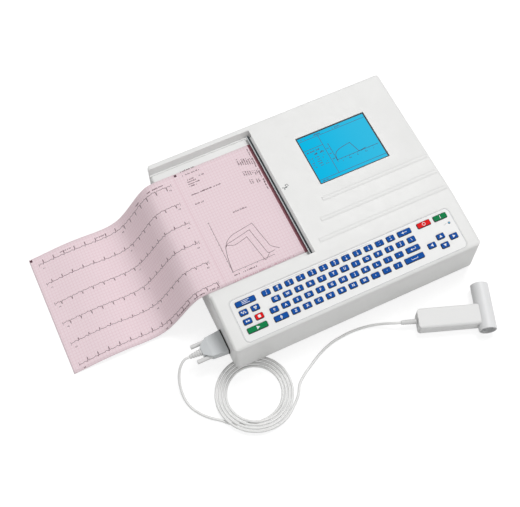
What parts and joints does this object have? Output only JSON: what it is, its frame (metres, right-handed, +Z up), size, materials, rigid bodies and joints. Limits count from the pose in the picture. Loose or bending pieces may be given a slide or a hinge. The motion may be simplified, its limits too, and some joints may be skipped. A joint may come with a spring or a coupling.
{
  "type": "ecg machine",
  "caption": "Desktop heart recorder with sloping keyboard, blue screen, chart paper drawer and a breathing-flow handset on a coiled lead.",
  "frame": {"origin": "on the table, under the middle of the machine, its chart paper and its handset, leaving out the lead and its plug", "axes": "+X to the operator's right, +Y from the keyboard to the back, +Z up"},
  "size_m": [0.618, 0.45, 0.0911],
  "materials": {
    "casing": "warm white moulded plastic, fine spark-eroded texture",
    "overlay": "smooth white keyboard panel",
    "key_blue": "blue silicone rubber, white printed symbols",
    "key_red": "red silicone rubber, white printed symbols",
    "key_green": "green silicone rubber, white printed symbols",
    "screen": "backlit blue liquid crystal behind clear acrylic, black border; emissive",
    "dark_plastic": "black moulded plastic",
    "circuit_board": "green circuit board",
    "steel": "brushed sheet steel",
    "aluminium": "satin aluminium",
    "brass": "satin brass",
    "print_ceramic": "smooth ceramic plate",
    "rubber": "matt black rubber",
    "gear_plastic": "natural acetal",
    "chart_paper": "pink thermal paper with a fine millimetre grid and black traces",
    "plug_plastic": "light grey moulded plastic",
    "cord_jacket": "smooth light grey jacket",
    "handset_plastic": "smooth white moulded plastic",
    "lamp": "small dark blue lens"
  },
  "bodies": {
    "machine": {"base_shell": "casing", "top_cover": "casing", "handset_top": "handset_plastic", "handset_bottom": "handset_plastic", "keyboard_overlay": "overlay", "key_mat": "key_blue", "keyboard_board": "circuit_board", "power_lamp": "lamp", "screen_window": "screen", "screen_module": "dark_plastic", "main_board": "circuit_board", "power_supply": "dark_plastic", "battery_pack": "dark_plastic", "feed_motor": "steel", "print_bracket": "steel", "head_pivot": "steel", "tear_bar": "steel", "chart_pack": "chart_paper", "foot_front_left": "rubber", "foot_front_right": "rubber", "foot_rear_left": "rubber", "foot_rear_right": "rubber", "mains_inlet": "dark_plastic", "patient_socket": "steel", "earth_stud": "brass", "sensor_socket": "dark_plastic", "socket_gasket": "rubber", "plug_hood": "plug_plastic", "plug_boot": "cord_jacket", "cord_to_coil": "cord_jacket", "cord_coil": "cord_jacket", "cord_to_handset": "cord_jacket", "handset_board": "circuit_board", "handset_boot": "cord_jacket"},
    "chart_drawer": {"chart_drawer": "casing", "roller_bush_front": "brass", "roller_bush_back": "brass", "chart_sheet": "chart_paper"},
    "platen": {"platen_roller": "rubber", "platen_shaft": "steel", "platen_gear": "gear_plastic"},
    "motor_pinion": {"motor_pinion": "brass"},
    "print_head": {"print_head": "print_ceramic", "head_bar": "aluminium"},
    "flow_tube": {"flow_tube": "handset_plastic"},
    "thumbscrew_front": {"thumbscrew_front": "plug_plastic"},
    "thumbscrew_rear": {"thumbscrew_rear": "plug_plastic"},
    "key_print_mode": {"key_print_mode": "key_blue"},
    "key_filter": {"key_filter": "key_blue"},
    "key_leads": {"key_leads": "key_blue"},
    "key_speed": {"key_speed": "key_blue"},
    "key_stop": {"key_stop": "key_red"},
    "key_start": {"key_start": "key_green"},
    "key_off": {"key_off": "key_red"},
    "key_on": {"key_on": "key_green"},
    "key_up": {"key_up": "key_blue"},
    "key_left": {"key_left": "key_blue"},
    "key_right": {"key_right": "key_blue"},
    "key_down": {"key_down": "key_blue"}
  },
  "joints": [
    {"name": "drawer_slide", "type": "slide", "parent": "machine", "child": "chart_drawer", "axis": [-1, 0, 0], "range_m": [0, 0.16]},
    {"name": "platen_spin", "type": "hinge", "parent": "chart_drawer", "child": "platen", "pos_m": [0.08703, 0.08499, 0.0715], "axis": [0, 1, 0], "continuous": true},
    {"name": "pinion_spin", "type": "hinge", "parent": "machine", "child": "motor_pinion", "pos_m": [0.09888, -0.01701, 0.0715], "axis": [0, 1, 0], "continuous": true},
    {"name": "print_head_lift", "type": "hinge", "parent": "machine", "child": "print_head", "pos_m": [0.11303, 0.08499, 0.0826], "axis": [0, 1, 0], "range_deg": [0, 1.5], "stiffness_Nm_per_rad": 6, "springref_deg": -5.73},
    {"name": "flow_tube_pull", "type": "slide", "parent": "machine", "child": "flow_tube", "axis": [-0.3404, -0.9403, 0], "range_m": [0, 0.05]},
    {"name": "thumbscrew_front_turn", "type": "hinge", "parent": "machine", "child": "thumbscrew_front", "pos_m": [-0.10597, -0.08871, 0.032], "axis": [1, 0, 0], "continuous": true},
    {"name": "thumbscrew_rear_turn", "type": "hinge", "parent": "machine", "child": "thumbscrew_rear", "pos_m": [-0.10597, -0.06371, 0.032], "axis": [1, 0, 0], "continuous": true},
    {"name": "key_print_mode_press", "type": "slide", "parent": "machine", "child": "key_print_mode", "axis": [0, 0.1219, -0.9925], "range_m": [0, 0.001], "stiffness_N_per_m": 700, "springref_m": -0.0005},
    {"name": "key_filter_press", "type": "slide", "parent": "machine", "child": "key_filter", "axis": [0, 0.1219, -0.9925], "range_m": [0, 0.001], "stiffness_N_per_m": 700, "springref_m": -0.0005},
    {"name": "key_leads_press", "type": "slide", "parent": "machine", "child": "key_leads", "axis": [0, 0.1219, -0.9925], "range_m": [0, 0.001], "stiffness_N_per_m": 700, "springref_m": -0.0005},
    {"name": "key_speed_press", "type": "slide", "parent": "machine", "child": "key_speed", "axis": [0, 0.1219, -0.9925], "range_m": [0, 0.001], "stiffness_N_per_m": 700, "springref_m": -0.0005},
    {"name": "key_stop_press", "type": "slide", "parent": "machine", "child": "key_stop", "axis": [0, 0.1219, -0.9925], "range_m": [0, 0.001], "stiffness_N_per_m": 700, "springref_m": -0.0005},
    {"name": "key_start_press", "type": "slide", "parent": "machine", "child": "key_start", "axis": [0, 0.1219, -0.9925], "range_m": [0, 0.001], "stiffness_N_per_m": 700, "springref_m": -0.0005},
    {"name": "key_off_press", "type": "slide", "parent": "machine", "child": "key_off", "axis": [0, 0.1219, -0.9925], "range_m": [0, 0.001], "stiffness_N_per_m": 700, "springref_m": -0.0005},
    {"name": "key_on_press", "type": "slide", "parent": "machine", "child": "key_on", "axis": [0, 0.1219, -0.9925], "range_m": [0, 0.001], "stiffness_N_per_m": 700, "springref_m": -0.0005},
    {"name": "key_up_press", "type": "slide", "parent": "machine", "child": "key_up", "axis": [0, 0.1219, -0.9925], "range_m": [0, 0.001], "stiffness_N_per_m": 700, "springref_m": -0.0005},
    {"name": "key_left_press", "type": "slide", "parent": "machine", "child": "key_left", "axis": [0, 0.1219, -0.9925], "range_m": [0, 0.001], "stiffness_N_per_m": 700, "springref_m": -0.0005},
    {"name": "key_right_press", "type": "slide", "parent": "machine", "child": "key_right", "axis": [0, 0.1219, -0.9925], "range_m": [0, 0.001], "stiffness_N_per_m": 700, "springref_m": -0.0005},
    {"name": "key_down_press", "type": "slide", "parent": "machine", "child": "key_down", "axis": [0, 0.1219, -0.9925], "range_m": [0, 0.001], "stiffness_N_per_m": 700, "springref_m": -0.0005}
  ],
  "couplings": [
    {"joint": "pinion_spin", "follows": "platen_spin", "ratio": -1.6}
  ]
}
